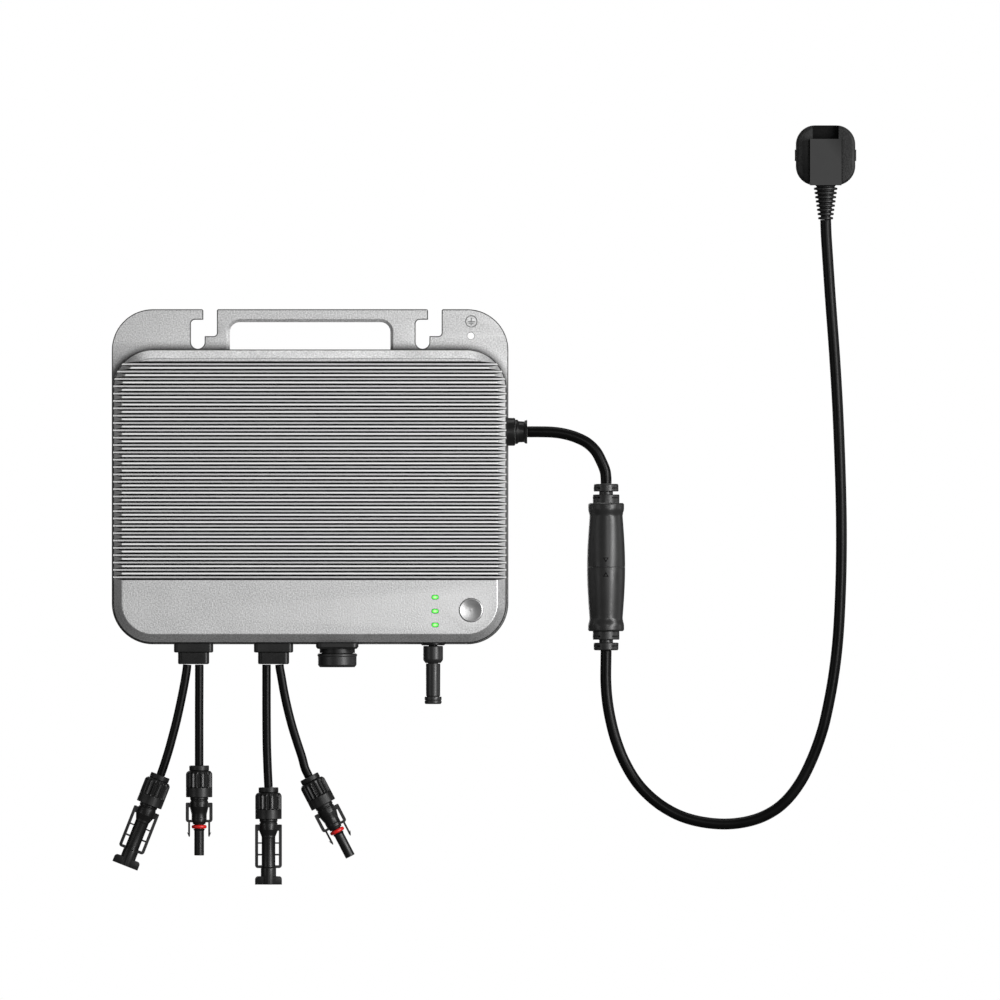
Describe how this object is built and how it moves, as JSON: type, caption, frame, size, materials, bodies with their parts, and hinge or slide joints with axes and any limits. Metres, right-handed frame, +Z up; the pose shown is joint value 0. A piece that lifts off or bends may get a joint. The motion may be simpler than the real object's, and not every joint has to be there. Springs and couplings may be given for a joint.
{
  "type": "micro inverter",
  "caption": "Wall-hung solar micro inverter: finned metal housing on a hook plate with a carrying handle, panel leads, stub antenna, and a mains lead with inline coupler and plug.",
  "frame": {"origin": "centre of the mounting plate's rear face, which lies on the wall", "axes": "+X to the viewer's right, +Y into the wall, +Z up; the finned front faces -Y"},
  "size_m": [0.525, 0.056, 0.5355],
  "materials": {
    "casting": "fine-sparkle silver powder coat on die casting",
    "button": "satin turned dish",
    "black": "moulded glass-filled nylon",
    "rubber": "matt moulded rubber",
    "jacket": "smooth cable jacket",
    "gasket": "silicone",
    "lens": "green light pipe",
    "red_seal": "red silicone",
    "steel": "zinc-plated steel",
    "contact": "nickel-plated brass",
    "board": "green solder mask",
    "ferrite": "sintered ferrite",
    "copper": "enamelled copper wire",
    "moulded": "moulded component",
    "pad": "silicone gap pad"
  },
  "bodies": {
    "inverter": {"back_plate": "casting", "fin_housing": "casting", "comms_port": "black", "antenna_base": "black", "gland_body": "black", "gland_nut": "black", "coupler_socket_shell": "black", "mains_plug_body": "black", "pv_socket_1_nut": "black", "pv_socket_1_body": "black", "pv_plug_2_nut": "black", "pv_plug_2_body": "black", "pv_socket_3_nut": "black", "pv_socket_3_body": "black", "pv_plug_4_nut": "black", "pv_plug_4_body": "black", "pv_entry_left": "rubber", "pv_entry_right": "rubber", "coupler_relief_upper": "rubber", "mains_plug_relief": "rubber", "mains_tail": "jacket", "mains_lead": "jacket", "pv_lead_1": "jacket", "pv_lead_2": "jacket", "pv_lead_3": "jacket", "pv_lead_4": "jacket", "housing_gasket": "gasket", "led_lens_upper": "lens", "led_lens_middle": "lens", "led_lens_lower": "lens", "pv_plug_2_seal": "red_seal", "pv_plug_4_seal": "red_seal", "cover_screw_1": "steel", "cover_screw_2": "steel", "cover_screw_3": "steel", "cover_screw_4": "steel", "button_spring": "steel", "coupler_pin_line": "contact", "coupler_pin_neutral": "contact", "coupler_pin_earth": "contact", "plug_pin_left": "contact", "plug_pin_right": "contact", "plug_earth_lower": "contact", "plug_earth_upper": "contact", "circuit_board": "board", "transformer_core": "ferrite", "transformer_winding": "copper", "output_choke": "copper", "tact_switch": "moulded", "bulk_capacitor_1": "moulded", "bulk_capacitor_2": "moulded", "grid_relay": "moulded", "thermal_pad": "pad"},
    "power_button": {"power_button": "button"},
    "comms_seal": {"comms_seal": "rubber"},
    "comms_cap": {"comms_cap": "black"},
    "antenna": {"antenna_whip": "rubber"},
    "antenna_nut": {"antenna_nut": "black"},
    "coupler_spigot": {"coupler_spigot_shell": "black", "coupler_relief_lower": "rubber"}
  },
  "joints": [
    {"name": "power_button_press", "type": "slide", "parent": "inverter", "child": "power_button", "axis": [0, 1, 0], "range_m": [0, 0.0012], "stiffness_N_per_m": 1500, "deforming": ["button_spring"]},
    {"name": "comms_seal_travel", "type": "slide", "parent": "inverter", "child": "comms_seal", "axis": [0, 0, -1], "range_m": [0, 0.00451]},
    {"name": "comms_cap_turn", "type": "hinge", "parent": "comms_seal", "child": "comms_cap", "pos_m": [0.0193, -0.022, -0.1295], "axis": [0, 0, -1], "range_deg": [0, 1080]},
    {"name": "antenna_travel", "type": "slide", "parent": "inverter", "child": "antenna", "axis": [0, 0, -1], "range_m": [0, 0.00282]},
    {"name": "antenna_nut_turn", "type": "hinge", "parent": "antenna", "child": "antenna_nut", "pos_m": [0.0869, -0.022, -0.1254], "axis": [0, 0, -1], "range_deg": [0, 1440]},
    {"name": "coupler_release", "type": "slide", "parent": "inverter", "child": "coupler_spigot", "axis": [0, 0, -1], "range_m": [0, 0.024], "deforming": ["mains_lead"]}
  ],
  "couplings": [
    {"joint": "comms_seal_travel", "follows": "comms_cap_turn", "m_per_rad": 0.00023873},
    {"joint": "antenna_nut_turn", "follows": "antenna_travel", "rad_per_m": 8904.7}
  ]
}
